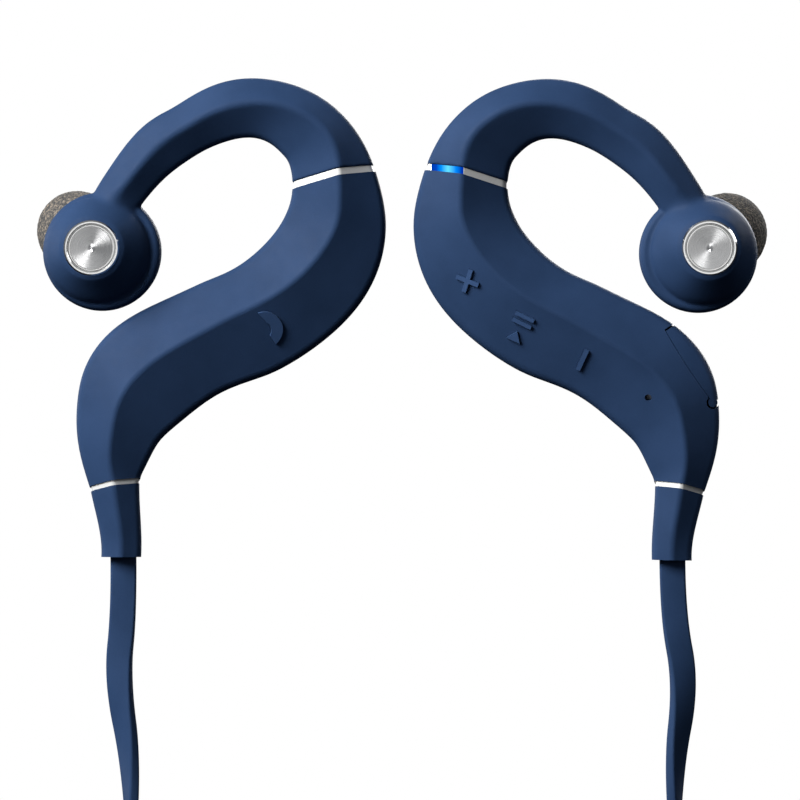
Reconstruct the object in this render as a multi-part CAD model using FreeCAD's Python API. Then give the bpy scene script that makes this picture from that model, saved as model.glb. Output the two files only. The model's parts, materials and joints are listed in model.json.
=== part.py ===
import FreeCAD, Part
import math
import os

# Neckband earphones: two behind-the-ear units joined by one flat cable.
# Frame: +X to the wearer's right unit, +Z up, -Y is the outer face of both units and
# +Y the skin side.  The origin is midway between the two ear seats, the tops of the
# inner curves of the hooks.  Both units are made at +X as (u, y, z); the left one is
# mirrored in X and the right one is turned by RIGHT_TURN about its own ear seat.

V = FreeCAD.Vector

# ---------------------------------------------------------------- driving dimensions
SEAT_U = 25.8             # ear seat to the middle plane
RIGHT_TURN = 1.1          # degrees the right unit leans, clockwise from the front
RIGHT_DROP = 0.14         # how much lower the right unit hangs
RIGHT_INWARDS = 0.15      # and how much closer to the middle
EDGE_Y = -1.3             # where the side walls end and the two front facets begin
BACK_INSET = 0.5          # draft of each side wall
ROUNDING_LOSS = 0.14      # what draft and rounding take off the silhouette, given back
RIDGE_R = 1.2             # rounding of the ridge between the facets
FRONT_R = 1.8             # rounding of the front edges
BACK_R = 2.4              # rounding of the back edges
WALL = 1.2                # cover wall
PARTING_Y = 2.4           # plane where the two covers meet
RUN_GAP = 0.06            # running clearance of moving parts
HOOK_RING_T = 1.15        # thickness of the ring under the hook
CABLE_RING_T = 0.85       # thickness of the ring over the strain relief
RING_INSET = 0.22         # how far the rings lie below the skin
RING_TILT = 9.0           # degrees the ring planes rise to the front
CORE_R = 0.6              # wire bundle in the hook
BUD_U, BUD_Z = 50.8, -19.4     # axis of the earbud housing
BUD_R = 10.1              # housing rim
BUD_PARTING_Y = 2.6       # plane between the front and rear housings
BADGE_U, BADGE_Z = 52.4, -18.9
BADGE_R = 4.7             # outer radius of the metal badge
NOZZLE_BASE = V(52.4, 7.3, -18.1)
# how far each earbud sits off these places, and its badge and nozzle off theirs on it
EARBUD_SHIFT = {"left": V(0, 0, 0), "right": V(0.27, 0, 0.28)}
BADGE_SHIFT = {"left": V(0, 0, 0), "right": V(0.05, 0, 0.4)}
NOZZLE_SHIFT = {"left": V(0.15, 0, 0), "right": V(0.7, 0, 0.1)}
NOZZLE_DIR = V(0.36, 0.885, 0.295).normalize()
NOZZLE_R = 2.3
NOZZLE_L = 7.4
TIP_R = 7.1               # foam tip
BUTTON_RISE = 0.45        # how far a button symbol stands above the skin
BUTTON_TRAVEL = 0.3
CABLE_R = 1.55            # round cord of the same section as the flat 4.4 x 1.8 cable

# Stations of the S-shaped body, from the earbud over the arch down to the cable:
# outer edge (u, z), inner edge (u, z), share of the width where the ridge runs,
# height of the ridge above the edges, depth of the back face.
STATIONS = [
    (53.3, -11.8, 46.2, -15.6, 0.45, 2.4, 2.4),
    (50.0, -5.9, 43.2, -10.3, 0.47, 2.6, 2.7),
    (46.9, -1.5, 40.1, -6.9, 0.48, 2.8, 3.1),
    (41.2, 3.7, 35.6, -3.5, 0.46, 3.0, 3.6),
    (33.5, 8.1, 30.1, -0.8, 0.44, 3.3, 4.1),
    (25.6, 10.0, 25.8, 0.0, 0.42, 3.5, 4.5),
    (17.5, 8.6, 21.8, -1.3, 0.35, 3.7, 4.8),
    (10.7, 4.5, 19.6, -3.4, 0.33, 3.8, 5.0),
    (6.4, -1.0, 18.7, -5.4, 0.37, 3.9, 5.1),
    (4.5, -5.4, 18.4, -8.0, 0.43, 4.0, 5.2),
    (2.7, -13.2, 19.4, -12.8, 0.47, 4.1, 5.4),
    (3.9, -22.4, 21.8, -16.7, 0.53, 4.2, 5.5),
    (9.3, -31.0, 25.8, -20.6, 0.575, 4.2, 5.5),
    (19.0, -38.5, 31.5, -23.8, 0.61, 4.2, 5.5),
    (28.0, -42.2, 38.5, -26.9, 0.58, 4.2, 5.4),
    (34.5, -45.9, 46.6, -31.0, 0.56, 4.1, 5.2),
    (38.8, -49.4, 52.2, -36.4, 0.555, 3.9, 5.0),
    (41.8, -52.7, 54.8, -43.5, 0.53, 3.6, 4.7),
    (43.6, -56.2, 54.9, -51.5, 0.52, 3.1, 4.3),
    (44.4, -58.6, 52.6, -60.3, 0.52, 2.6, 3.8),
    (44.5, -61.2, 52.2, -63.6, 0.52, 2.5, 3.7),
]
BOOT_STATIONS = [
    (44.4, -56.6, 53.0, -58.0, 0.52, 2.6, 3.7),
    (44.45, -61.5, 52.2, -62.3, 0.51, 2.35, 3.5),
    (44.2, -66.0, 51.3, -66.4, 0.50, 2.0, 3.0),
    (44.15, -71.3, 50.95, -71.3, 0.50, 1.6, 2.5),
]
HOOK_RING = ((4.5, -5.45), (18.4, -8.35))      # outer and inner edge of each ring
CABLE_RING = ((44.4, -58.5), (52.7, -59.9))

# Points of the cable's route, corners of straight runs, from left to right.
CABLE_ROUTE = [
    (-47.2, 0.4, -71.0), (-47.1, 0.4, -80.5), (-48.3, 0.6, -92.0), (-45.8, 1.0, -107.0),
    (-46.0, 1.6, -130.0), (-44.2, 2.4, -160.0), (-39.4, 3.2, -190.0),
    (-28.8, 3.8, -219.0), (-10.0, 4.2, -242.5), (12.5, 4.0, -243.0),
    (30.6, 3.6, -218.5), (40.4, 3.0, -189.0), (45.0, 2.3, -159.0),
    (46.9, 1.5, -130.0), (46.3, 0.9, -107.5), (48.5, 0.6, -93.0), (46.2, 0.4, -81.0),
    (46.15, 0.4, -71.5),
]

OPEN_FRONT = -30.0        # far in front of everything
OPEN_BACK = 30.0          # far behind everything


# ---------------------------------------------------------------- plain helpers
def rounded_wire(corners, radii):
    """Closed wire through the corners, each one rounded with its own radius."""
    edges = []
    count = len(corners)
    starts, mids, ends = [], [], []
    for i in range(count):
        here = corners[i]
        to_prev = (corners[i - 1] - here).normalize()
        to_next = (corners[(i + 1) % count] - here).normalize()
        half = to_prev.getAngle(to_next) / 2
        reach = radii[i] / math.tan(half)
        bisector = (to_prev + to_next).normalize()
        starts.append(here + to_prev * reach)
        ends.append(here + to_next * reach)
        mids.append(here + bisector * (radii[i] / math.sin(half) - radii[i]))
    for i in range(count):
        edges.append(Part.Arc(starts[i], mids[i], ends[i]).toShape())
        edges.append(Part.makeLine(ends[i], starts[(i + 1) % count]))
    return Part.Wire(edges)


def inset_polygon(points, amount):
    """2-D polygon with every side moved inwards; the points run clockwise."""
    result = []
    count = len(points)
    for i in range(count):
        before, here, after = points[i - 1], points[i], points[(i + 1) % count]
        d1 = ((here[0] - before[0]), (here[1] - before[1]))
        d2 = ((after[0] - here[0]), (after[1] - here[1]))
        l1, l2 = math.hypot(*d1), math.hypot(*d2)
        n1 = (d1[1] / l1, -d1[0] / l1)
        n2 = (d2[1] / l2, -d2[0] / l2)
        scale = amount / (1 + n1[0] * n2[0] + n1[1] * n2[1])
        result.append((here[0] + (n1[0] + n2[0]) * scale, here[1] + (n1[1] + n2[1]) * scale))
    return result


def station_wire(station, inset=0.0):
    """Five-sided section: two front facets, two side walls and the back face."""
    ou, oz, iu, iz, share, rise, back = station
    width = math.hypot(iu - ou, iz - oz)
    across = V((iu - ou) / width, 0, (iz - oz) / width)
    # (distance across, depth), outer front corner first, clockwise in this plane
    flat = [(0, EDGE_Y), (share * width, EDGE_Y - rise), (width, EDGE_Y),
            (width - BACK_INSET, back), (BACK_INSET, back)]
    flat = inset_polygon(flat, ROUNDING_LOSS - inset)
    corners = [V(ou, 0, oz) + across * s + V(0, y, 0) for s, y in flat]
    shrink = min(inset, 1.0)
    radii = [FRONT_R - shrink, max(RIDGE_R - inset, 0.3), FRONT_R - shrink,
             BACK_R - inset, BACK_R - inset]
    return rounded_wire(corners, radii)


def station_loft(stations, inset=0.0):
    return Part.makeLoft([station_wire(s, inset) for s in stations], True, False)


def oriented_box(centre, x_dir, z_dir, size_x, size_y, size_z):
    """Box centred at a point, with its X and Z sides along the given directions."""
    z_dir = V(z_dir).normalize()
    y_dir = z_dir.cross(x_dir).normalize()
    x_dir = y_dir.cross(z_dir).normalize()
    box = Part.makeBox(size_x, size_y, size_z, V(-size_x / 2, -size_y / 2, -size_z / 2))
    turn = FreeCAD.Matrix(x_dir.x, y_dir.x, z_dir.x, centre.x,
                          x_dir.y, y_dir.y, z_dir.y, centre.y,
                          x_dir.z, y_dir.z, z_dir.z, centre.z, 0, 0, 0, 1)
    box.Placement = FreeCAD.Placement(turn)
    return box


def y_slab(y_low, y_high):
    return Part.makeBox(200, y_high - y_low, 300, V(-100, y_low, -250))


def ring_slab(ends, thickness):
    """Local slab where a ring sits, tilted so that its front is higher."""
    (ou, oz), (iu, iz) = ends
    across = V(iu - ou, 0, iz - oz).normalize()
    up = V(-across.z, 0, across.x)
    tilt = math.radians(RING_TILT)
    normal = up * math.cos(tilt) + V(0, math.sin(tilt), 0)
    centre = V((ou + iu) / 2, 0, (oz + iz) / 2)
    return oriented_box(centre, across, normal, 22, 24, thickness)


def disc_stack(sections):
    """Smooth solid through circles given as (centre, axis, radius)."""
    wires = [Part.Wire(Part.Circle(c, V(n), r).toShape()) for c, n, r in sections]
    return Part.makeLoft(wires, True, False)


def turned(profile, base, axis):
    """Solid of revolution of (distance along the axis, radius) points."""
    axis = V(axis).normalize()
    side = axis.cross(V(1, 0, 0)).normalize()
    points = [base + axis * a + side * r for a, r in profile]
    face = Part.Face(Part.makePolygon(points + [points[0]]))
    return face.revolve(base, axis, 360)


def one_solid(shape):
    """The largest solid of a cut or common."""
    return max(shape.Solids, key=lambda s: s.Volume)


def merged(shapes):
    result = shapes[0]
    for shape in shapes[1:]:
        result = result.fuse(shape)
    return result.removeSplitter()


def without(shape, tools):
    for tool in tools:
        shape = shape.cut(tool)
    return shape


def arc_path(points, report=None):
    """Straight runs joined by tangent arcs as large as the two runs allow."""
    points = [V(*p) for p in points]
    edges = []
    here = points[0]
    for i in range(1, len(points) - 1):
        a, b, c = points[i - 1], points[i], points[i + 1]
        back, ahead = (a - b).normalize(), (c - b).normalize()
        turn = math.pi - back.getAngle(ahead)
        reach = 0.45 * min((a - b).Length, (c - b).Length)
        radius = reach / math.tan(turn / 2)
        if report is not None:
            report.append(radius)
        start, end = b + back * reach, b + ahead * reach
        bisector = (back + ahead).normalize()
        middle = b + bisector * (radius / math.cos(turn / 2) - radius)
        edges.append(Part.LineSegment(here, start).toShape())
        edges.append(Part.Arc(start, middle, end).toShape())
        here = end
    edges.append(Part.LineSegment(here, points[-1]).toShape())
    return Part.Wire(edges)


def tube(points, radius, report=None):
    """Round tube along a path of runs and arcs."""
    path = arc_path(points, report)
    first = path.Edges[0]
    start = first.valueAt(first.FirstParameter)
    axis = first.tangentAt(first.FirstParameter)
    ring = Part.Wire(Part.Circle(start, axis, radius).toShape())
    return path.makePipeShell([ring], True, True)


# ---------------------------------------------------------------- body of a unit
def body_inset(amount):
    """The middle stretch between the two rings, with its walls moved inwards."""
    whole = station_loft(STATIONS, amount)
    rest = whole.cut(ring_slab(HOOK_RING, HOOK_RING_T + 2 * amount))
    rest = rest.cut(ring_slab(CABLE_RING, CABLE_RING_T + 2 * amount))
    return one_solid(rest)


def skin_frame(solid, u, z):
    """Point of the front skin over (u, z), with axes right, up and outwards."""
    def on_skin(pu, pz):
        line = Part.makeLine(V(pu, OPEN_FRONT, pz), V(pu, OPEN_BACK, pz))
        return min((v.Point for v in solid.common(line).Vertexes), key=lambda p: p.y)
    reach = 1.4
    right = (on_skin(u + reach, z) - on_skin(u - reach, z)).normalize()
    up = on_skin(u, z + reach) - on_skin(u, z - reach)
    outwards = right.cross(up).normalize()
    if outwards.y > 0:
        outwards = outwards * -1
    up = right.cross(outwards).normalize()
    if up.z < 0:
        up = up * -1
    return on_skin(u, z), right, up, outwards


def skin_prism(frame, outlines, low, high):
    """Closed outlines in the skin's plane, made solid between two heights."""
    point, right, up, outwards = frame
    solids = []
    for outline in outlines:
        corners = [point + right * x + up * z + outwards * low for x, z in outline]
        face = Part.Face(Part.makePolygon(corners + [corners[0]]))
        solids.append(face.extrude(outwards * (high - low)))
    return merged(solids) if len(solids) > 1 else solids[0]


def bar(cx, cz, length, width, degrees, grow):
    """Rectangle turned about the symbol's origin."""
    a = math.radians(degrees)
    half_l, half_w = length / 2 + grow, width / 2 + grow
    box = [(-half_l, -half_w), (half_l, -half_w), (half_l, half_w), (-half_l, half_w)]
    return [turn_point(cx + x, cz + z, a) for x, z in box]


def turn_point(x, z, a):
    return (x * math.cos(a) - z * math.sin(a), x * math.sin(a) + z * math.cos(a))


def plus_symbol(grow):
    angle = -21.0
    return [bar(0, 0, 4.1, 0.75, angle, grow), bar(0, 0, 0.75, 4.1, angle, grow)]


def minus_symbol(grow):
    return [bar(0, 0, 3.9, 0.83, 65.0, grow)]


def play_symbol(grow):
    """Two pause bars over a triangle that points up to them."""
    angle = -25.7
    a = math.radians(angle)
    apex, base, half = -0.9 + 2.0 * grow, -2.7 - grow, 1.25 + 2.2 * grow
    triangle = [(-half, base), (half, base), (0, apex)]
    return [bar(0.1, 2.0, 3.5, 0.62, angle, grow), bar(0.1, 0.72, 3.5, 0.62, angle, grow),
            [turn_point(x, z, a) for x, z in triangle]]


def handset_symbol(grow):
    """Crescent with two cut ends, the outline of a telephone handset."""
    outer_r, inner_r = 3.25 + grow, 1.75 - grow
    outer_end, inner_end = math.degrees(grow / outer_r), math.degrees(grow / inner_r)
    outer = arc_points(-1.3, -0.1, outer_r, -49 - outer_end, 111 + outer_end, 12)
    inner = arc_points(-1.75, -0.25, inner_r, 66 + inner_end, -30 - inner_end, 6)
    return [[(-x, z) for x, z in outer + inner]]


def arc_points(cx, cz, radius, first, last, count):
    """Evenly spaced points on an arc between two angles in degrees."""
    angles = [math.radians(first + (last - first) * i / (count - 1)) for i in range(count)]
    return [(cx + radius * math.cos(a), cz + radius * math.sin(a)) for a in angles]


# name, place (u, z) and symbol of each button
BUTTONS = {
    "left": [("call", 22.0, -32.6, handset_symbol)],
    "right": [("volume_up", 11.95, -24.5, plus_symbol), ("play", 20.9, -32.1, play_symbol),
              ("volume_down", 31.65, -37.5, minus_symbol)],
}
FLANGE_R = 3.1            # base of a button under the cover
FLANGE_T = 0.45
POST_R = 0.8              # post from the base to the switch
SWITCH_SIZE = 3.0
PLUNGER_R = 0.6
BOARD_FRONT_Y = 0.5       # circuit board, between these two planes
BOARD_BACK_Y = 1.1
SWITCH_H = 1.0


def button_parts(solid, well, u, z, symbol):
    """Button, aperture for the cover, switch body and plunger under one symbol."""
    frame = skin_frame(solid, u, z)
    point, right, up, outwards = frame
    under = -WALL - RUN_GAP
    key = skin_prism(frame, symbol(0.0), under - 0.2, BUTTON_RISE)
    disc = Part.makeCylinder(FLANGE_R, 2.0, point + outwards * (under - FLANGE_T), outwards)
    flange = disc.common(well)
    # depth, along the sliding axis, of the switch's top
    top = (point.y - (BOARD_FRONT_Y - SWITCH_H)) / -outwards.y
    post_end = top + 0.5 + BUTTON_TRAVEL
    post = Part.makeCylinder(POST_R, under - post_end, point + outwards * post_end, outwards)
    button = one_solid(merged([key, flange, post]))
    aperture = skin_prism(frame, symbol(RUN_GAP), under - 2.0, BUTTON_RISE + 1.0)
    plunger_l = 0.5 + BUTTON_TRAVEL + 0.2
    plunger = Part.makeCylinder(PLUNGER_R, plunger_l, point + outwards * (post_end - plunger_l),
                                outwards)
    hole = Part.makeCylinder(PLUNGER_R + RUN_GAP, 6.0, point + outwards * (top - 0.75), outwards)
    seat = point + outwards * top
    housing = Part.makeBox(SWITCH_SIZE, SWITCH_H, SWITCH_SIZE,
                           V(seat.x - SWITCH_SIZE / 2, BOARD_FRONT_Y - SWITCH_H,
                             seat.z - SWITCH_SIZE / 2))
    return button, aperture, housing.cut(hole), plunger, outwards


# ---------------------------------------------------------------- earbud
def dome_solid(side):
    """Front of the earbud: a rim and an off-centre dome that carries the badge."""
    y_axis = V(0, 1, 0)
    shift = BADGE_SHIFT[side]
    rim = turned([(0, 0), (0, 9.2), (0.35, 9.75), (1.2, 10.05), (2.6, 10.1), (4.2, 10.0),
                  (4.2, 0)], V(BUD_U, BUD_PARTING_Y - 4.2, BUD_Z), y_axis)
    # share of the badge's shift, centre and radius from the rim to the badge
    dome = disc_stack([(V(u, y, z) + shift * share, y_axis, radius) for share, u, y, z, radius in (
        (0.0, 51.65, -0.9, -19.2, 9.1), (0.2, 51.7, -2.3, -19.15, 8.8),
        (0.5, 51.9, -4.0, -19.05, 7.7), (0.8, 52.2, -5.7, -18.95, 6.3),
        (1.0, BADGE_U, -7.0, BADGE_Z, 5.15))])
    return merged([rim, dome])


def rear_solid(side):
    """Back of the earbud: a shallow bowl with a cone that carries the nozzle."""
    base = NOZZLE_BASE + NOZZLE_SHIFT[side]
    bowl = turned([(0, 0), (0, 10.0), (0.8, 9.95), (1.8, 9.4), (2.8, 8.3), (3.6, 6.7),
                   (4.1, 4.8), (4.3, 0)], V(BUD_U, BUD_PARTING_Y, BUD_Z), V(0, 1, 0))
    cone = turned([(-3.0, 0), (-3.0, 6.2), (-1.6, 5.0), (-0.4, 3.9), (0, 3.4), (0, 0)],
                  base, NOZZLE_DIR)
    return merged([bowl, cone])


def bud_parts(side):
    """Front and rear housings, badge, driver and nozzle screen."""
    y_axis = V(0, 1, 0)
    base = NOZZLE_BASE + NOZZLE_SHIFT[side]
    badge_floor = V(BADGE_U, -6.1, BADGE_Z) + BADGE_SHIFT[side]
    front = dome_solid(side)
    chamber = Part.makeCylinder(8.8, 3.6, V(BUD_U, BUD_PARTING_Y - 3.6, BUD_Z), y_axis)
    crown = Part.makeCylinder(5.6, 3.8, V(52.0, -4.6, -19.0), y_axis)
    pocket = Part.makeCylinder(BADGE_R, 3.0, badge_floor, V(0, -1, 0))
    front = one_solid(without(front, [chamber, crown, pocket]))

    stub = Part.makeCylinder(NOZZLE_R, NOZZLE_L + 1.0, base - NOZZLE_DIR, NOZZLE_DIR)
    bore = Part.makeCylinder(1.5, NOZZLE_L + 6.0, base - NOZZLE_DIR * 4.0, NOZZLE_DIR)
    hollow = turned([(-0.5, 0), (-0.5, 8.8), (0.6, 8.75), (1.4, 8.2), (2.2, 7.0), (2.8, 5.4),
                     (3.0, 0)], V(BUD_U, BUD_PARTING_Y, BUD_Z), y_axis)
    screen_seat = Part.makeCylinder(1.8, 0.4, base + NOZZLE_DIR * (NOZZLE_L - 0.4), NOZZLE_DIR)
    rear = one_solid(without(merged([rear_solid(side), stub]), [hollow, bore, screen_seat]))

    front_dir = V(0, -1, 0)
    bezel = turned([(0, 3.3), (0, BADGE_R), (1.0, BADGE_R), (1.3, 4.45), (1.3, 4.2),
                    (1.05, 3.95), (0.5, 3.85), (0.5, 3.3)], badge_floor, front_dir)
    disc = turned([(0, 0), (0, 3.25), (0.55, 3.25), (0.55, 3.7), (1.05, 3.7), (1.2, 3.55),
                   (1.05, 0)], badge_floor, front_dir)

    cup_floor = V(BUD_U, -0.9, BUD_Z)
    driver_frame = turned([(0, 0), (0, 5.9), (2.7, 5.9), (2.7, 8.8), (3.5, 8.8), (3.5, 5.2),
                           (1.9, 5.2), (1.9, 5.4), (0.5, 5.4), (0.5, 0)], cup_floor, y_axis)
    magnet = turned([(0.5, 0), (0.5, 4.3), (2.0, 4.3), (2.0, 0)], cup_floor, y_axis)
    diaphragm = turned([(2.9, 0), (2.7, 3.0), (2.7, 4.5), (2.2, 4.5), (2.2, 4.8), (2.7, 4.8),
                        (2.7, 5.2), (2.85, 5.2), (2.85, 3.0), (3.05, 0)], cup_floor, y_axis)
    screen = Part.makeCylinder(1.8, 0.25, base + NOZZLE_DIR * (NOZZLE_L - 0.4), NOZZLE_DIR)
    return {"bud_front": front, "bud_rear": rear, "badge_bezel": bezel, "badge_disc": disc,
            "driver_frame": driver_frame, "driver_magnet": magnet,
            "driver_diaphragm": diaphragm, "nozzle_screen": screen}


def tip_parts(side):
    """Foam ear tip on a plastic sleeve that slides over the nozzle."""
    base = NOZZLE_BASE + NOZZLE_SHIFT[side]
    bore = NOZZLE_R + RUN_GAP
    core = turned([(1.4, bore), (1.4, 3.3), (1.9, 3.3), (1.9, 3.0), (8.4, 3.0), (8.4, bore)],
                  base, NOZZLE_DIR)
    foam = turned([(1.9, 3.0), (1.9, 5.6), (2.4, 6.5), (3.5, 7.0), (5.8, TIP_R), (8.6, 7.0),
                   (10.9, 6.5), (12.3, 5.6), (12.9, 4.4), (12.9, 2.2), (8.4, 2.2), (8.4, 3.0)],
                  base, NOZZLE_DIR)
    return {"tip_core": core, "tip_foam": foam}


# ---------------------------------------------------------------- charging port
PORT_TOP = (46.5, -31.9)         # ends of the rubber cover along the inner edge
PORT_END = (54.8, -44.8)
PORT_DEPTH = 0.9                 # from the edge in to its front boundary, at the top
PORT_SAG = 0.3                   # how far that boundary bows
PORT_NOTCH = 0.35                # gap over its free end, for a fingernail
HINGE_R = 0.80                   # bead at its lower end, moulded on
HINGE_GAP = 0.32                 # lets the corner of the cover swing past
HINGE_SUNK = 0.45                # the bead's axis lies this far under the edge


def port_axes():
    """Directions along the port cover, downwards, and outwards from the body."""
    along = V(PORT_END[0] - PORT_TOP[0], 0, PORT_END[1] - PORT_TOP[1]).normalize()
    return along, V(-along.z, 0, along.x)


def port_hinge():
    along, out = port_axes()
    return V(PORT_END[0], 0, PORT_END[1]) - along * HINGE_R - out * HINGE_SUNK


def port_region(grow, notch, y_high):
    """Prism over the stretch of wall that the rubber cover replaces."""
    along, out = port_axes()
    start = V(PORT_TOP[0], 0, PORT_TOP[1]) - along * notch - out * (PORT_DEPTH + grow)
    finish = port_hinge() - out * grow + along * grow
    middle = (start + finish) * 0.5 - out * PORT_SAG
    far = out * 7
    edges = [Part.Arc(start, middle, finish).toShape(),
             Part.makeLine(finish, finish + far),
             Part.makeLine(finish + far, start + far),
             Part.makeLine(start + far, start)]
    face = Part.Face(Part.Wire(edges))
    face.translate(V(0, OPEN_FRONT, 0))
    return face.extrude(V(0, y_high - OPEN_FRONT, 0))


def hinge_rod(radius, y_low, y_high):
    hinge = port_hinge()
    return Part.makeCylinder(radius, y_high - y_low, V(hinge.x, y_low, hinge.z), V(0, 1, 0))


def port_parts(body, shell):
    """Rubber cover with its hinge bead, the room it takes, and the socket behind it."""
    along, out = port_axes()
    cover_back = PARTING_Y - RUN_GAP
    flap = one_solid(shell.common(port_region(0.0, 0.0, cover_back)))
    bead = hinge_rod(HINGE_R, OPEN_FRONT, cover_back).common(body)
    cover = one_solid(merged([flap, bead]))
    room = [port_region(RUN_GAP, PORT_NOTCH, PARTING_Y),
            hinge_rod(HINGE_R + HINGE_GAP, OPEN_FRONT, PARTING_Y)]
    middle = V((PORT_TOP[0] + PORT_END[0]) / 2, 0.0, (PORT_TOP[1] + PORT_END[1]) / 2)
    face = middle - out * 1.0
    case = oriented_box(face - out * 2.6, along, out, 7.5, 2.6, 5.2)
    mouth = oriented_box(face - out * 2.2, along, out, 6.9, 2.0, 4.6)
    tongue = oriented_box(face - out * 2.9, along, out, 4.0, 0.6, 3.8)
    return cover, room, merged([case.cut(mouth), tongue])


# ---------------------------------------------------------------- one unit
def unit_parts(side):
    """All pieces of one unit, in the unit's own (u, y, z)."""
    parts = {}
    loft = station_loft(STATIONS)
    hook_slab = ring_slab(HOOK_RING, HOOK_RING_T)
    cable_slab = ring_slab(CABLE_RING, CABLE_RING_T)
    stretches = sorted(without(loft, [hook_slab, cable_slab]).Solids,
                       key=lambda s: s.CenterOfMass.z, reverse=True)
    hook, body = stretches[0], stretches[1]
    ring_loft = station_loft(STATIONS, RING_INSET)
    hook_ring = one_solid(ring_loft.common(hook_slab))
    cable_ring = one_solid(ring_loft.common(cable_slab))

    core_route = [((s[0] + s[2]) / 2, -0.3, (s[1] + s[3]) / 2)
                  for s in (STATIONS[k] for k in (10, 9, 7, 6, 5, 4, 3, 2, 1))]
    channel = tube(core_route, CORE_R)
    bud_solid = merged([dome_solid(side), rear_solid(side)])
    bud_solid.translate(EARBUD_SHIFT[side])
    parts["hook_core"] = one_solid(channel.cut(bud_solid))
    parts["ear_hook"] = one_solid(without(hook, [bud_solid, channel]))

    cavity = body_inset(WALL)
    shell = body.cut(cavity)
    seal_outside = body_inset(0.4).common(y_slab(PARTING_Y - 0.35, PARTING_Y + 0.35))
    seal = one_solid(seal_outside.cut(body_inset(0.85)))
    outer = shell.common(y_slab(OPEN_FRONT, PARTING_Y)).cut(seal)
    inner = shell.common(y_slab(PARTING_Y, OPEN_BACK)).cut(seal)
    parts["cover_seal"] = seal
    well = body_inset(WALL + 2 * RUN_GAP)
    board_room = body_inset(WALL + 0.4)
    board = board_room.common(y_slab(BOARD_FRONT_Y, BOARD_BACK_Y))
    board = board.common(Part.makeBox(44, 10, 34, V(4, -5, -46)))

    apertures, switches = [], []
    for name, u, z, symbol in BUTTONS[side]:
        button, aperture, switch, plunger, outwards = button_parts(body, well, u, z, symbol)
        parts[name + "_button"] = button
        parts[name + "_plunger"] = plunger
        apertures.append(aperture)
        switches.append(switch)
        print(side, name, "slides along", [round(c, 4) for c in outwards * -1])
    parts["button_switches" if side == "right" else "call_switch"] = Part.Compound(switches)
    outer = without(outer, apertures + [channel])

    if side == "right":
        cover, port_room, socket = port_parts(body, shell)
        outer = without(outer, port_room)
        seal_room = port_region(RUN_GAP, PORT_NOTCH, PARTING_Y + 1)
        seal = one_solid(without(seal, [seal_room, hinge_rod(HINGE_R + HINGE_GAP, 0, PARTING_Y + 1)]))
        parts["cover_seal"] = seal
        parts["usb_cover"] = cover
        parts["usb_socket"] = socket
        along, out = port_axes()
        board = board.cut(oriented_box(V(*socket.BoundBox.Center) + out, along, out, 8.0, 6.0, 8.0))
        mic = skin_frame(body, 42.9, -43.8)
        outer = outer.cut(Part.makeCylinder(0.6, 6, mic[0] - mic[3] * 3, mic[3]))
        parts["microphone"] = Part.makeCylinder(2.0, 1.2, mic[0] - mic[3] * (WALL + 1.3), mic[3])
        (ou, oz), (iu, iz) = HOOK_RING
        across = V(iu - ou, 0, iz - oz).normalize()
        middle = V(ou, -4.8, oz) + across * 3.7
        window_box = oriented_box(middle, across, V(0, 0, 1), 5.4, 8.0, 8.0)
        parts["led_window"] = one_solid(hook_ring.common(window_box))
        hook_ring = hook_ring.cut(window_box)
        parts["led_chip"] = Part.makeBox(1.6, 1.0, 0.8, V(7.0, -1.6, -9.2))

    parts["outer_cover"] = one_solid(outer)
    parts["inner_cover"] = one_solid(inner.cut(channel))
    parts["circuit_board"] = one_solid(board)
    battery_axis = V(1, 0, -0.62).normalize()
    parts["battery"] = oriented_box(V(20.5, 2.75, -27.6), battery_axis, V(0, 1, 0), 19, 8.6, 2.6)
    parts["hook_ring"] = one_solid(hook_ring.cut(channel))
    parts["cable_ring"] = cable_ring

    boot = station_loft(BOOT_STATIONS).cut(cable_slab)
    boot = min(boot.Solids, key=lambda s: s.CenterOfMass.z)
    parts["strain_relief"] = boot
    for name, shape in {**bud_parts(side), **tip_parts(side)}.items():
        shape.translate(EARBUD_SHIFT[side])
        parts[name] = shape
    return parts


def placed(shape, side):
    """From the unit's own frame to its place in the whole object."""
    if side == "left":
        return shape.mirror(V(0, 0, 0), V(1, 0, 0))
    result = shape.copy()
    result.rotate(V(SEAT_U, 0, 0), V(0, 1, 0), RIGHT_TURN)
    result.translate(V(-RIGHT_INWARDS, 0, -RIGHT_DROP))
    return result


def main():
    os.makedirs("parts", exist_ok=True)
    radii = []
    cable = tube(CABLE_ROUTE, CABLE_R, radii)
    length = arc_path(CABLE_ROUTE).Length
    print("cable arcs, smallest and largest radius:", round(min(radii), 1), round(max(radii), 1))
    print("cable length", round(length, 1), "volume / (section x length)",
          round(cable.Volume / (math.pi * CABLE_R ** 2 * length), 4))
    nodes = {"neck_cable": cable}
    for side in ("left", "right"):
        for name, shape in unit_parts(side).items():
            shape = placed(shape, side)
            if name == "strain_relief":
                shape = shape.cut(cable)
            nodes[side + "_" + name] = shape
    for name, shape in nodes.items():
        box = shape.BoundBox
        print("%-26s solids %d valid %s volume %9.3f  z %.1f..%.1f" %
              (name, len(shape.Solids), shape.isValid(), shape.Volume, box.ZMin, box.ZMax))
        shape.exportStep("parts/" + name + ".step")


main()
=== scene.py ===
import json
import math

import bmesh
import bpy
import numpy as np
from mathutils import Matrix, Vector, noise


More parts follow.
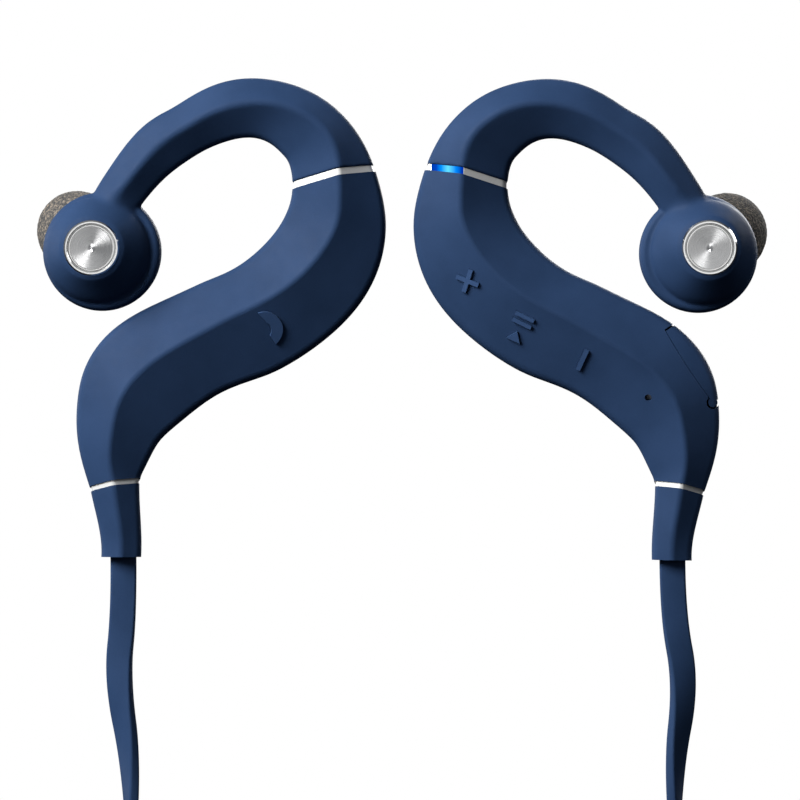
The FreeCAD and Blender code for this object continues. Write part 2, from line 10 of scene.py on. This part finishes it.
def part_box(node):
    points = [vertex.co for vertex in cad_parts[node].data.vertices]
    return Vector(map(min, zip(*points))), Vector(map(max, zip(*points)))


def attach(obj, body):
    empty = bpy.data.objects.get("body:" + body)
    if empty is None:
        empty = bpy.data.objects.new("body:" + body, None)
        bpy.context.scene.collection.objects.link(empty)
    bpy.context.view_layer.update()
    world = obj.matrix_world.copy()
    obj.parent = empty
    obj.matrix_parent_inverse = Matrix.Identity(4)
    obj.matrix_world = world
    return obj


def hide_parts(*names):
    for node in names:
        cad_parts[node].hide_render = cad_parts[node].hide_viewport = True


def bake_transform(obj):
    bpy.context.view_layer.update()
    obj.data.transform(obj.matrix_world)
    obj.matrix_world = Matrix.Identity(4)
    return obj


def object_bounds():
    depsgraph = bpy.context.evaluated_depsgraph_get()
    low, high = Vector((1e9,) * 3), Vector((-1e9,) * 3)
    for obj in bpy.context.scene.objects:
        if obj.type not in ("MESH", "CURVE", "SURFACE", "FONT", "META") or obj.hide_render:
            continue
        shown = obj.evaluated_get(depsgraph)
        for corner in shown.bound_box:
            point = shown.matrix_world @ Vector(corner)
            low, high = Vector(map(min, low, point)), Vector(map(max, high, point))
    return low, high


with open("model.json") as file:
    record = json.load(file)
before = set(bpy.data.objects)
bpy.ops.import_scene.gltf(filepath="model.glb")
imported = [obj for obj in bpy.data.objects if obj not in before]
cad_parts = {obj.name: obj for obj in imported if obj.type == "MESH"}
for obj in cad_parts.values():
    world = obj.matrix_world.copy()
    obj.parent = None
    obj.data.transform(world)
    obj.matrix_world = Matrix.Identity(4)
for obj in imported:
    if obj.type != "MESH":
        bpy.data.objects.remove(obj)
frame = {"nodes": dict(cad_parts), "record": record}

# Neckband earphones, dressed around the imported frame.  Metres, +Z up, -Y is the outer
# face of both units; -X is the left unit and +X the right one.

CAD_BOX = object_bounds()
MM = 0.001
SIDES = {"left": -1.0, "right": 1.0}


# ================================================================ camera, light, room
VIEW_WIDTH = 136.0 * MM          # what the picture shows from side to side
VIEW_CENTRE = Vector((-0.17 * MM, 0.0, -44.625 * MM))
VIEW_DISTANCE = 1.5
SENSOR = 36.0
FLOOR_DROP = 14.0 * MM           # the floor lies this far under the hanging cable
FLOOR_FADE = (120.0 * MM, 480.0 * MM)            # paper up to here, plain white from there
FLOOR_GREY = (0.86, 0.86, 0.86)
FLOOR_HALF = 0.9                 # half the floor's side, in metres
CAMERA_REACH = 50.0              # in metres


def make_camera():
    data = bpy.data.cameras.new("camera")
    data.sensor_width = SENSOR
    data.lens = SENSOR * VIEW_DISTANCE / VIEW_WIDTH
    data.clip_end = CAMERA_REACH
    camera = bpy.data.objects.new("camera", data)
    camera.location = VIEW_CENTRE + Vector((0.0, -VIEW_DISTANCE, 0.0))
    camera.rotation_euler = (math.radians(90.0), 0.0, 0.0)
    bpy.context.scene.collection.objects.link(camera)
    bpy.context.scene.camera = camera
    bpy.context.scene.view_settings.view_transform = "Standard"


# name, place and side of each square light in metres, and its watts
LIGHTS = (("key", (-0.55, -0.42, 0.42), 0.45, 26.0),
          ("front", (0.1, -1.1, 0.1), 0.5, 0.8),
          ("right_card", (0.58, 0.10, 0.26), 0.3, 1.3),
          ("back", (0.35, 0.85, 0.40), 0.6, 18.0),
          ("back_left", (-0.70, 0.55, 0.10), 0.4, 3.0))


def make_lights():
    for name, place, size, watts in LIGHTS:
        data = bpy.data.lights.new(name, "AREA")
        data.shape = "RECTANGLE"
        data.size = data.size_y = size
        data.energy = watts
        lamp = bpy.data.objects.new(name, data)
        lamp.location = place
        lamp.rotation_euler = (VIEW_CENTRE - Vector(place)).to_track_quat("-Z", "Y").to_euler()
        bpy.context.scene.collection.objects.link(lamp)


ROOM_LEAN = (-0.55, -0.40, 0.73)                 # towards the key light
ROOM_DARK = (0.016, 0.018, 0.023, 1.0)
ROOM_LIGHT = (0.26, 0.27, 0.285, 1.0)
ROOM_FULL = 0.9                                  # cosine to the lean where it is lightest


def make_world():
    """White paper behind; for light and reflections a room brighter towards the key side."""
    world = bpy.data.worlds.new("studio")
    world.use_nodes = True
    bpy.context.scene.world = world
    tree = world.node_tree
    tree.nodes.clear()
    way = tree.nodes.new("ShaderNodeTexCoord")
    lean = tree.nodes.new("ShaderNodeVectorMath")
    lean.operation = "DOT_PRODUCT"
    lean.inputs[1].default_value = ROOM_LEAN
    shade = tree.nodes.new("ShaderNodeValToRGB")
    stops = shade.color_ramp.elements
    stops[0].position, stops[0].color = 0.0, ROOM_DARK
    stops[1].position, stops[1].color = ROOM_FULL, ROOM_LIGHT
    room = tree.nodes.new("ShaderNodeBackground")
    paper = tree.nodes.new("ShaderNodeBackground")
    paper.inputs["Color"].default_value = (1.0, 1.0, 1.0, 1.0)
    seen = tree.nodes.new("ShaderNodeLightPath")
    mix = tree.nodes.new("ShaderNodeMixShader")
    out = tree.nodes.new("ShaderNodeOutputWorld")
    tree.links.new(way.outputs["Generated"], lean.inputs[0])
    tree.links.new(lean.outputs["Value"], shade.inputs["Fac"])
    tree.links.new(shade.outputs["Color"], room.inputs["Color"])
    tree.links.new(seen.outputs["Is Camera Ray"], mix.inputs[0])
    tree.links.new(room.outputs[0], mix.inputs[1])
    tree.links.new(paper.outputs[0], mix.inputs[2])
    tree.links.new(mix.outputs[0], out.inputs[0])


def make_floor():
    """Pale paper under the cable that runs out into the white behind it."""
    low = CAD_BOX[0][2] - FLOOR_DROP
    signs = ((-1, -1), (1, -1), (1, 1), (-1, 1))
    corners = [(FLOOR_HALF * x, FLOOR_HALF * y, low) for x, y in signs]
    mesh = bpy.data.meshes.new("floor")
    mesh.from_pydata(corners, [], [(0, 1, 2, 3)])
    floor = bpy.data.objects.new("floor", mesh)
    bpy.context.scene.collection.objects.link(floor)
    look = Look("floor_paper")
    radius, _ = radius_about(look, (0.0, 0.0, low), (1.0, 1.0, 0.0))
    far = look.spread(radius, 0.0, 1.0, FLOOR_FADE[0] / MM, FLOOR_FADE[1] / MM)
    look.link(look.ramp(far, [(0.0, FLOOR_GREY), (1.0, (0.0, 0.0, 0.0))]),
              look.bsdf.inputs["Base Color"])
    look.bsdf.inputs["Emission Color"].default_value = (1.0, 1.0, 1.0, 1.0)
    look.link(far, look.bsdf.inputs["Emission Strength"])
    look.set(Roughness=0.9, Specular_IOR_Level=0.0)
    mesh.materials.append(look.material)
    floor.visible_diffuse = False
    floor.visible_glossy = False


# ================================================================ materials
class Look:
    """A node material with short calls for the nodes that the finishes share."""

    def __init__(self, name):
        self.material = bpy.data.materials.new(name)
        self.material.use_nodes = True
        self.tree = self.material.node_tree
        self.bsdf = self.tree.nodes["Principled BSDF"]
        self.place = None

    def add(self, kind, **settings):
        node = self.tree.nodes.new(kind)
        for key, value in settings.items():
            setattr(node, key, value)
        return node

    def link(self, source, target):
        self.tree.links.new(source, target)

    def coords(self):
        """Row-frame coordinates in millimetres."""
        if self.place is None:
            texture = self.add("ShaderNodeTexCoord")
            scale = self.add("ShaderNodeVectorMath", operation="SCALE")
            scale.inputs["Scale"].default_value = 1.0 / MM
            self.link(texture.outputs["Object"], scale.inputs[0])
            self.place = scale.outputs[0]
        return self.place

    def noise(self, per_mm, detail=3.0, rough=0.5):
        node = self.add("ShaderNodeTexNoise")
        node.inputs["Scale"].default_value = per_mm
        node.inputs["Detail"].default_value = detail
        node.inputs["Roughness"].default_value = rough
        self.link(self.coords(), node.inputs["Vector"])
        return node.outputs["Fac"]

    def cells(self, per_mm):
        node = self.add("ShaderNodeTexVoronoi", feature="F1")
        node.inputs["Scale"].default_value = per_mm
        self.link(self.coords(), node.inputs["Vector"])
        return node

    def math(self, operation, a, b):
        node = self.add("ShaderNodeMath", operation=operation)
        for socket, value in zip(node.inputs, (a, b)):
            if hasattr(value, "is_output"):
                self.link(value, socket)
            else:
                socket.default_value = value
        return node.outputs[0]

    def spread(self, value, low, high, start=0.3, end=0.7):
        node = self.add("ShaderNodeMapRange")
        limits = {"From Min": start, "From Max": end, "To Min": low, "To Max": high}
        for name, number in limits.items():
            node.inputs[name].default_value = number
        self.link(value, node.inputs["Value"])
        return node.outputs["Result"]

    def ramp(self, value, stops):
        node = self.add("ShaderNodeValToRGB")
        elements = node.color_ramp.elements
        elements[0].position, elements[0].color = stops[0][0], (*stops[0][1], 1.0)
        elements[1].position, elements[1].color = stops[-1][0], (*stops[-1][1], 1.0)
        for position, colour in stops[1:-1]:
            elements.new(position).color = (*colour, 1.0)
        self.link(value, node.inputs["Fac"])
        return node.outputs["Color"]

    def bump(self, height, depth_mm):
        node = self.add("ShaderNodeBump")
        node.inputs["Strength"].default_value = 1.0
        node.inputs["Distance"].default_value = depth_mm * MM
        self.link(height, node.inputs["Height"])
        self.link(node.outputs["Normal"], self.bsdf.inputs["Normal"])

    def set(self, **values):
        for key, value in values.items():
            self.bsdf.inputs[key.replace("_", " ")].default_value = value


NAVY_DEEP = (0.0100, 0.0222, 0.0530)
NAVY_LIGHT = (0.0130, 0.0278, 0.0656)


def navy_look(name, roughness, grain_mm, painted_light_gain=1.0, gloss=0.035):
    """Soft-touch navy: faint cloudy colour, fine moulded grain, uneven sheen."""
    look = Look(name)
    # the gain multiplies both navy colours; above 1 it is painted light standing in for lit faces
    deep = tuple(c * painted_light_gain for c in NAVY_DEEP)
    light = tuple(c * painted_light_gain for c in NAVY_LIGHT)
    cloud = look.noise(0.16, detail=4.0)
    speck = look.noise(5.5, detail=2.0, rough=0.6)
    blend = look.math("ADD", look.math("MULTIPLY", cloud, 0.6), look.math("MULTIPLY", speck, 0.4))
    look.link(look.ramp(blend, [(0.35, deep), (0.65, light)]), look.bsdf.inputs["Base Color"])
    look.link(look.spread(look.noise(0.9), roughness - 0.04, roughness + 0.04),
              look.bsdf.inputs["Roughness"])
    grain = look.noise(1.0 / grain_mm, detail=3.0, rough=0.65)
    look.bump(grain, 0.012)
    look.set(Specular_IOR_Level=gloss)
    return look.material


def silver_look():
    look = Look("silver_trim_look")
    fleck = look.noise(9.0, detail=2.0)
    look.link(look.ramp(fleck, [(0.3, (0.42, 0.42, 0.41)), (0.7, (0.49, 0.49, 0.48))]),
              look.bsdf.inputs["Base Color"])
    look.link(look.spread(look.noise(1.4), 0.28, 0.36), look.bsdf.inputs["Roughness"])
    look.bump(fleck, 0.004)
    look.set(Metallic=0.2, Specular_IOR_Level=0.4)
    return look.material


def metal_look(name, colour, roughness, scratch=0.0):
    look = Look(name)
    look.link(look.ramp(look.noise(2.2), [(0.3, tuple(c * 0.93 for c in colour)), (0.7, colour)]),
              look.bsdf.inputs["Base Color"])
    look.link(look.spread(look.noise(3.0), roughness - 0.03, roughness + 0.04),
              look.bsdf.inputs["Roughness"])
    if scratch:
        look.bump(look.noise(12.0, detail=2.0), scratch)
    look.set(Metallic=1.0)
    return look.material


def radius_about(look, centre, plane=(1.0, 0.0, 1.0)):
    """Distance within a plane, in mm, and direction from a point of the row frame."""
    away = look.add("ShaderNodeVectorMath", operation="SUBTRACT")
    look.link(look.coords(), away.inputs[0])
    away.inputs[1].default_value = tuple(c / MM for c in centre)
    flat = look.add("ShaderNodeVectorMath", operation="MULTIPLY")
    flat.inputs[1].default_value = plane
    look.link(away.outputs[0], flat.inputs[0])
    length = look.add("ShaderNodeVectorMath", operation="LENGTH")
    look.link(flat.outputs[0], length.inputs[0])
    return length.outputs["Value"], flat.outputs[0]


def spun_look(name, centre):
    """Lathe-turned metal: fine concentric grooves and a grain that runs round."""
    look = Look(name)
    radius, away = radius_about(look, centre)
    rings = look.add("ShaderNodeTexNoise", noise_dimensions="1D")
    rings.inputs["Scale"].default_value = 14.0
    rings.inputs["Detail"].default_value = 4.0
    look.link(radius, rings.inputs["W"])
    tone = look.ramp(rings.outputs["Fac"], [(0.3, (0.50, 0.50, 0.50)), (0.7, (0.60, 0.60, 0.60))])
    look.link(tone, look.bsdf.inputs["Base Color"])
    look.link(look.spread(rings.outputs["Fac"], 0.24, 0.34), look.bsdf.inputs["Roughness"])
    around = look.add("ShaderNodeVectorMath", operation="CROSS_PRODUCT")
    look.link(away, around.inputs[0])
    around.inputs[1].default_value = (0.0, 1.0, 0.0)
    world = look.add("ShaderNodeVectorTransform", vector_type="VECTOR", convert_from="OBJECT",
                     convert_to="WORLD")
    look.link(around.outputs[0], world.inputs[0])
    look.link(world.outputs[0], look.bsdf.inputs["Tangent"])
    look.bump(rings.outputs["Fac"], 0.003)
    look.set(Metallic=1.0, Anisotropic=0.85)
    return look.material


def foam_look():
    """Charcoal memory foam: mottled cells with pale and brownish flecks."""
    look = Look("foam_look")
    cell = look.cells(2.6)
    mottle = look.noise(1.3, detail=5.0, rough=0.7)
    value = look.math("ADD", look.math("MULTIPLY", cell.outputs["Distance"], 0.55),
                      look.math("MULTIPLY", mottle, 0.65))
    colour = look.ramp(value, [(0.32, (0.012, 0.012, 0.013)), (0.50, (0.030, 0.030, 0.030)),
                               (0.62, (0.044, 0.042, 0.039)), (0.80, (0.12, 0.100, 0.080))])
    look.link(colour, look.bsdf.inputs["Base Color"])
    look.bump(value, 0.10)
    look.set(Roughness=0.95, Specular_IOR_Level=0.1)
    return look.material


def plain_look(name, colour, roughness):
    """Small moulded or stamped piece with a slightly uneven surface."""
    look = Look(name)
    fleck = look.noise(6.0, detail=2.0)
    look.link(look.ramp(fleck, [(0.3, tuple(c * 0.85 for c in colour)), (0.7, colour)]),
              look.bsdf.inputs["Base Color"])
    look.link(look.spread(look.noise(1.7), roughness - 0.04, roughness + 0.06),
              look.bsdf.inputs["Roughness"])
    look.bump(fleck, 0.006)
    look.set(Metallic=0.0)
    return look.material


def board_look():
    """Green solder mask, lighter along its tracks."""
    look = Look("board_look")
    track = look.add("ShaderNodeTexWave", wave_type="BANDS", bands_direction="DIAGONAL")
    track.inputs["Scale"].default_value = 0.45
    track.inputs["Distortion"].default_value = 3.0
    look.link(look.coords(), track.inputs["Vector"])
    mask = look.ramp(track.outputs["Fac"], [(0.78, (0.004, 0.055, 0.022)),
                                            (0.84, (0.02, 0.16, 0.06))])
    look.link(mask, look.bsdf.inputs["Base Color"])
    look.bump(track.outputs["Fac"], 0.02)
    look.set(Roughness=0.25)
    return look.material


def mesh_look():
    """Woven steel mesh, drawn by two crossed waves."""
    look = Look("screen_mesh_look")
    waves = []
    for direction in ("X", "Z"):
        wave = look.add("ShaderNodeTexWave", wave_type="BANDS", bands_direction=direction)
        wave.inputs["Scale"].default_value = 1.6
        look.link(look.coords(), wave.inputs["Vector"])
        waves.append(wave.outputs["Fac"])
    weave = look.math("MULTIPLY", waves[0], waves[1])
    look.link(look.ramp(weave, [(0.25, (0.20, 0.20, 0.20)), (0.5, (0.02, 0.02, 0.02))]),
              look.bsdf.inputs["Base Color"])
    look.bump(weave, 0.05)
    look.set(Metallic=0.8, Roughness=0.55)
    return look.material


def led_look():
    """Lit light guide: cyan in the middle, deep blue towards its ends."""
    look = Look("led_window_look")
    low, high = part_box("right_led_window")
    split = look.add("ShaderNodeSeparateXYZ")
    look.link(look.coords(), split.inputs[0])
    along = look.spread(split.outputs["X"], 0.0, 1.0, low[0] / MM, high[0] / MM)
    glow = look.ramp(along, [(0.0, (0.0, 0.01, 0.25)), (0.16, (0.0, 0.03, 0.42)),
                             (0.32, (0.0, 0.30, 0.95)), (0.52, (0.14, 0.80, 1.0)),
                             (0.76, (0.0, 0.24, 0.90)), (0.94, (0.0, 0.02, 0.35))])
    look.link(glow, look.bsdf.inputs["Emission Color"])
    look.bsdf.inputs["Base Color"].default_value = (0.0, 0.01, 0.05, 1.0)
    look.bump(look.noise(4.0), 0.004)
    look.set(Emission_Strength=0.95, Roughness=0.5, Specular_IOR_Level=0.0)
    return look.material


def make_materials():
    return {
        "soft_touch_shell": navy_look("shell_look", 0.58, 0.16),
        "hook_rubber": navy_look("hook_look", 0.58, 0.14),
        "cable_rubber": navy_look("cable_look", 0.54, 0.20),
        # buttons: the navy lightened 1.55 times, painted light for their lit tops
        "button_rubber": navy_look("button_look", 0.40, 0.18, painted_light_gain=1.55, gloss=0.22),
        "port_rubber": navy_look("port_look", 0.46, 0.18),
        "silver_trim": silver_look(),
        "polished_metal": metal_look("polished_look", (0.74, 0.74, 0.73), 0.12),
        "spring_wire": metal_look("wire_look", (0.55, 0.55, 0.56), 0.35, 0.004),
        "magnet": metal_look("magnet_look", (0.72, 0.72, 0.70), 0.22),
        "battery_foil": metal_look("foil_look", (0.70, 0.71, 0.73), 0.34, 0.02),
        "switch_metal": metal_look("switch_look", (0.62, 0.62, 0.62), 0.30, 0.004),
        "mic_can": metal_look("can_look", (0.60, 0.60, 0.60), 0.28, 0.004),
        "usb_shell": metal_look("usb_look", (0.66, 0.66, 0.67), 0.26, 0.005),
        "tip_foam": foam_look(),
        "board": board_look(),
        "screen_mesh": mesh_look(),
        "led_window": led_look(),
        "seal_rubber": plain_look("seal_look", (0.012, 0.012, 0.013), 0.6),
        "driver_plastic": plain_look("driver_look", (0.02, 0.02, 0.022), 0.4),
        "diaphragm_film": plain_look("film_look", (0.45, 0.42, 0.33), 0.18),
        "tip_sleeve": plain_look("sleeve_look", (0.025, 0.025, 0.028), 0.5),
        "switch_plunger": plain_look("plunger_look", (0.03, 0.03, 0.03), 0.35),
        "led_chip": plain_look("chip_look", (0.75, 0.80, 0.85), 0.3),
    }


def paint(piece, material):
    piece.data.materials.clear()
    piece.data.materials.append(material)


# ================================================================ mesh helpers
WELD = 0.002 * MM


def new_piece(name, mesh):
    piece = bpy.data.objects.new(name, mesh)
    bpy.context.scene.collection.objects.link(piece)
    return piece


def joined_copy(name, nodes):
    """One mesh from copies of CAD nodes, with its split corners welded."""
    bm = bmesh.new()
    for node in nodes:
        bm.from_mesh(frame["nodes"][node].data)
    bmesh.ops.remove_doubles(bm, verts=bm.verts, dist=WELD)
    mesh = bpy.data.meshes.new(name)
    bm.to_mesh(mesh)
    bm.free()
    return mesh


def apply_modifiers(piece):
    """Turns the modified shape into the piece's own mesh."""
    graph = bpy.context.evaluated_depsgraph_get()
    mesh = bpy.data.meshes.new_from_object(piece.evaluated_get(graph))
    piece.modifiers.clear()
    old = piece.data
    piece.data = mesh
    bpy.data.meshes.remove(old)


def smooth_shade(mesh):
    mesh.polygons.foreach_set("use_smooth", [True] * len(mesh.polygons))
    mesh.update()


def points_of(mesh):
    flat = np.empty(len(mesh.vertices) * 3)
    mesh.vertices.foreach_get("co", flat)
    return flat.reshape(-1, 3)


def move_points(mesh, points):
    mesh.vertices.foreach_set("co", points.ravel())
    mesh.update()


def soften(mesh, rounds, share):
    """Laplacian smoothing in which each point takes its own share (0..1) of every round."""
    points = points_of(mesh)
    ends = np.empty(len(mesh.edges) * 2, dtype=np.int64)
    mesh.edges.foreach_get("vertices", ends)
    a, b = ends.reshape(-1, 2).T
    count = len(points)
    around = np.bincount(a, minlength=count) + np.bincount(b, minlength=count)
    step = (0.5 * share / np.maximum(around, 1))[:, None]
    for _ in range(rounds):
        total = np.stack([np.bincount(a, points[b, k], count) + np.bincount(b, points[a, k], count)
                          for k in range(3)], axis=1)
        points = points + step * (total - around[:, None] * points)
    move_points(mesh, points)


def remeshed(name, nodes, voxel):
    """The nodes' joint outer form in even quads."""
    piece = new_piece(name, joined_copy(name, nodes))
    remesh = piece.modifiers.new("remesh", "REMESH")
    remesh.mode = "VOXEL"
    remesh.voxel_size = voxel
    apply_modifiers(piece)
    smooth_shade(piece.data)
    return piece


def ramp_down(distance, full, none):
    """1 up to the distance full, 0 from none on, smooth between; numbers or arrays."""
    t = np.clip((none - distance) / (none - full), 0.0, 1.0)
    return t * t * (3.0 - 2.0 * t)


def apart(points, centre, axes=(0, 1, 2)):
    """Distances of points from a centre, along the given axes only."""
    return np.linalg.norm(points[:, axes] - np.array(centre)[list(axes)], axis=1)


# ================================================================ hook and earbud
SKIN_VOXEL = 0.26 * MM
VOXEL_ROUNDS = 3                 # rounds of smoothing against the voxels' steps
VOXEL_SHARE = 0.7
JOINT_ROUNDS = 60
COLLAR_ROUNDS = 30
BRIM_ROUNDS = 24
JOINT_U, JOINT_Y, JOINT_Z = 49.3, -3.0, -12.9    # mm, where the hook's arm runs into the dome
JOINT_SOFT = (2.2 * MM, 4.9 * MM)                # full and no smoothing, from that point
BRIM_STEP = (8.9 * MM, 0.7 * MM, 1.5 * MM)       # radius of the step, full and no smoothing
COLLAR_SOFT = (5.2 * MM, 6.4 * MM)               # radii of full and no smoothing round the badge
BADGE_BED = (4.30 * MM, 4.62 * MM, 0.9 * MM)     # sunk under the badge: inner, outer radius, depth
BED_BEHIND = 0.5 * MM                            # sunk down to here behind the badge's middle


def box_centre(node):
    low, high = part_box(node)
    return (Vector(low) + Vector(high)) * 0.5


def hook_skin(side, material):
    """Elastomer skin of the hook, run on over the earbud's front housing."""
    nodes = [side + "_ear_hook", side + "_bud_front"]
    badge = [side + "_badge_bezel", side + "_badge_disc"]
    piece = remeshed(side + "_hook_skin", nodes + badge, SKIN_VOXEL)
    mesh = piece.data
    sign = SIDES[side]
    middle = box_centre(badge[0])
    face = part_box(badge[0])[0][1]
    joint = Vector((sign * JOINT_U, JOINT_Y, JOINT_Z)) * MM
    soften(mesh, VOXEL_ROUNDS, np.full(len(mesh.vertices), VOXEL_SHARE))
    points = points_of(mesh)
    soften(mesh, JOINT_ROUNDS, ramp_down(apart(points, joint), *JOINT_SOFT))
    points = points_of(mesh)
    beside = apart(points, middle, (0, 2))
    front = points[:, 1] < middle.y
    soften(mesh, COLLAR_ROUNDS, ramp_down(beside, *COLLAR_SOFT) * front)
    brim = ramp_down(np.abs(beside - BRIM_STEP[0]), *BRIM_STEP[1:]) * front
    soften(mesh, BRIM_ROUNDS, brim)
    points = points_of(mesh)
    beside = apart(points, middle, (0, 2))
    inner, outer, depth = BADGE_BED
    under = ramp_down(beside, inner, outer) * (points[:, 1] < middle.y + BED_BEHIND)
    points[:, 1] += under * np.maximum(face + depth - points[:, 1], 0.0)
    move_points(mesh, points)
    smooth_shade(mesh)
    paint(piece, material)
    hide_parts(*nodes)
    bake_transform(piece)


def hook_wires(side, material):
    """Spring wire and leads inside the hook."""
    node = side + "_hook_core"
    piece = new_piece(side + "_hook_wires", joined_copy(side + "_hook_wires", [node]))
    smooth_shade(piece.data)
    paint(piece, material)
    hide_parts(node)
    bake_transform(piece)


REAR_SOFT = (4.5 * MM, 6.0 * MM)                 # depths of full and no smoothing
REAR_EDGE = 0.8 * MM                             # the seam's edge is kept this deep
REAR_ROUNDS = 18


def rear_shell(side, material):
    """Rear housing of the earbud, its bowl and nozzle foot blended softly."""
    node = side + "_bud_rear"
    piece = remeshed(side + "_rear_shell", [node], SKIN_VOXEL)
    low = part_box(node)[0][1]
    points = points_of(piece.data)
    depth = points[:, 1] - low
    inside = np.clip(depth / REAR_EDGE, 0.0, 1.0)
    soften(piece.data, REAR_ROUNDS, ramp_down(depth, *REAR_SOFT) * inside)
    paint(piece, material)
    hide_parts(node)
    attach(piece, side + "_bud")


FOAM_VOXEL = 0.24 * MM
FOAM_ROUNDS = 14
FOAM_PITS = ((1.9, 0.05), (4.1, 0.045))          # per mm, and how deep in mm


def foam_tip(side, material):
    """Foam tip: rounded, with the fine pits of cut open-cell foam."""
    piece = remeshed(side + "_foam", [side + "_tip_foam"], FOAM_VOXEL)
    mesh = piece.data
    soften(mesh, FOAM_ROUNDS, np.ones(len(mesh.vertices)))
    for vertex in mesh.vertices:
        at = vertex.co / MM
        pits = sum(noise.noise(at * per_mm) * deep for per_mm, deep in FOAM_PITS)
        vertex.co += vertex.normal * (pits * MM)
    smooth_shade(mesh)
    paint(piece, material)
    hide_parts(side + "_tip_foam")
    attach(piece, side + "_ear_tip")


# ================================================================ cable
CABLE_WIDTH = 4.4 * MM
CABLE_THICK = 1.8 * MM
CABLE_EDGE = 0.45 * MM           # rounding of the section's corners
CORNER_POINTS = 5                # on each of them
LINE_STEPS = 24                  # of the smooth line, per point of the route
TWIST_FROM = 4.0 * MM            # along the cable, from each strain relief
TWIST_TO = 56.0 * MM

# the route of the frame's cable, corners of its runs, left to right
CABLE_ROUTE = [Vector(p) * MM for p in (
    (-47.2, 0.4, -71.0), (-47.1, 0.4, -80.5), (-48.3, 0.6, -92.0), (-45.8, 1.0, -107.0),
    (-46.0, 1.6, -130.0), (-44.2, 2.4, -160.0), (-39.4, 3.2, -190.0),
    (-28.8, 3.8, -219.0), (-10.0, 4.2, -242.5), (12.5, 4.0, -243.0),
    (30.6, 3.6, -218.5), (40.4, 3.0, -189.0), (45.0, 2.3, -159.0),
    (46.9, 1.5, -130.0), (46.3, 0.9, -107.5), (48.5, 0.6, -93.0), (46.2, 0.4, -81.0),
    (46.15, 0.4, -71.5))]


def spline_points(route):
    """Points along the smooth line that has the route as its control points."""
    curve = bpy.data.curves.new("cable_line", "CURVE")
    curve.dimensions = "3D"
    curve.resolution_u = LINE_STEPS
    spline = curve.splines.new("NURBS")
    spline.points.add(len(route) - 1)
    for point, co in zip(spline.points, route):
        point.co = (*co, 1.0)
    spline.order_u = 3
    spline.use_endpoint_u = True
    line = bpy.data.objects.new("cable_line", curve)
    bpy.context.scene.collection.objects.link(line)
    graph = bpy.context.evaluated_depsgraph_get()
    mesh = bpy.data.meshes.new_from_object(line.evaluated_get(graph))
    points = [v.co.copy() for v in mesh.vertices]
    bpy.data.meshes.remove(mesh)
    bpy.data.objects.remove(line)
    bpy.data.curves.remove(curve)
    return points


def flat_section():
    """Corner-rounded section as (across, through) pairs, once around."""
    half_w, half_t = CABLE_WIDTH / 2 - CABLE_EDGE, CABLE_THICK / 2 - CABLE_EDGE
    section = []
    for quarter, (sx, sy) in enumerate(((1, 1), (-1, 1), (-1, -1), (1, -1))):
        for i in range(CORNER_POINTS):
            angle = math.radians(90.0 * (quarter + i / (CORNER_POINTS - 1)))
            section.append((sx * half_w + CABLE_EDGE * math.cos(angle),
                            sy * half_t + CABLE_EDGE * math.sin(angle)))
    return section


def twist_at(distance, total):
    """Quarter twist: none at either end, flat side out along the bend."""
    from_end = min(distance, total - distance)
    return math.radians(90.0) * (1.0 - ramp_down(from_end, TWIST_FROM, TWIST_TO))


def neck_cable(material):
    line = spline_points(CABLE_ROUTE)
    travelled = [0.0]
    for start, end in zip(line, line[1:]):
        travelled.append(travelled[-1] + (end - start).length)
    total = travelled[-1]
    section = flat_section()
    bm = bmesh.new()
    rings = []
    for i, (point, distance) in enumerate(zip(line, travelled)):
        ahead = (line[min(i + 1, len(line) - 1)] - line[max(i - 1, 0)]).normalized()
        level = ahead.cross(Vector((0.0, 1.0, 0.0))).normalized()
        back = level.cross(ahead).normalized()
        angle = twist_at(distance, total)
        across = level * math.cos(angle) - back * math.sin(angle)
        through = ahead.cross(across)
        rings.append([bm.verts.new(point + across * x + through * y) for x, y in section])
    for ring, after in zip(rings, rings[1:]):
        for k in range(len(section)):
            j = (k + 1) % len(section)
            bm.faces.new((ring[k], ring[j], after[j], after[k]))
    bm.faces.new(rings[0][::-1])
    bm.faces.new(rings[-1])
    bmesh.ops.recalc_face_normals(bm, faces=bm.faces)
    mesh = bpy.data.meshes.new("flat_cable")
    bm.to_mesh(mesh)
    bm.free()
    smooth_shade(mesh)
    piece = new_piece("flat_cable", mesh)
    paint(piece, material)
    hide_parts("neck_cable")
    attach(piece, "root")


# ================================================================ carried-over pieces
# bevels in mm, by a word of the node's name
EDGE_ROUND = {"button": 0.16, "plunger": 0.06, "usb_cover": 0.12, "outer_cover": 0.10,
              "inner_cover": 0.10, "ring": 0.10, "strain_relief": 0.18, "badge": 0.05,
              "usb_socket": 0.06, "tip_core": 0.10}
BEVEL_FROM = 28.0                # degrees between faces, and up


def dress_node(name, node, looks, slots):
    """Finish and softly broken edges for a CAD piece."""
    slot = slots[name]
    if slot == "spun_metal":
        material = spun_look(name + "_look", box_centre(name))
    else:
        material = looks[slot]
    paint(node, material)
    widths = [width for word, width in EDGE_ROUND.items() if word in name]
    if widths:
        bevel = node.modifiers.new("edges", "BEVEL")
        bevel.width = widths[0] * MM
        bevel.segments = 3
        bevel.limit_method = "ANGLE"
        bevel.angle_limit = math.radians(BEVEL_FROM)


# ================================================================ assembly
def main():
    make_camera()
    make_world()
    make_lights()
    make_floor()
    looks = make_materials()
    slots = {entry["node"]: entry["material_slot"] for entry in frame["record"]["subparts"]}
    neck_cable(looks["cable_rubber"])
    for side in SIDES:
        hook_skin(side, looks["hook_rubber"])
        hook_wires(side, looks["spring_wire"])
        rear_shell(side, looks["soft_touch_shell"])
        foam_tip(side, looks["tip_foam"])
    for name, node in frame["nodes"].items():
        dress_node(name, node, looks, slots)


main()
